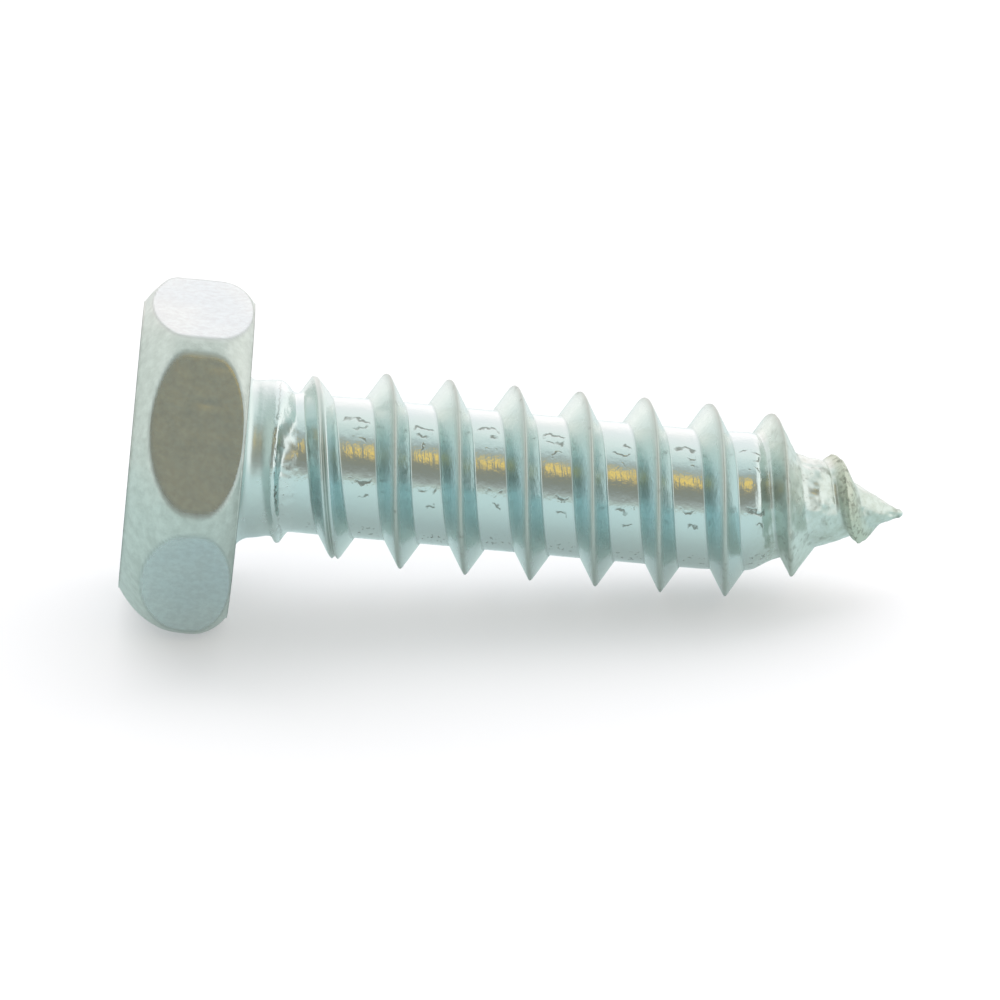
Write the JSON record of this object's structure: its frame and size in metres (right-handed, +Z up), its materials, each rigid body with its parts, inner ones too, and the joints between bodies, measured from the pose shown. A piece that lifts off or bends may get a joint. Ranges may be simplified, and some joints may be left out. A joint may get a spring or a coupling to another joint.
{
  "type": "hex head sheet metal screw",
  "caption": "Steel tapping screw with a plain hex head, a short plain neck and a coarse right-hand thread that runs out on a cone point, lying at rest.",
  "frame": {"origin": "centre of the bounding box's footprint, at the height of the surface the screw lies on", "axes": "+X level, from the head towards the point; +Z up. The screw's axis lies in the XZ plane and falls 7.1 degrees towards the point"},
  "size_m": [0.0192, 0.0088, 0.008],
  "materials": {
    "zinc_plated_steel": "bright zinc plate with a faint blue-grey passivation, as rolled and pressed"
  },
  "bodies": {
    "root": {"sheet_metal_screw": "zinc_plated_steel"}
  },
  "joints": []
}
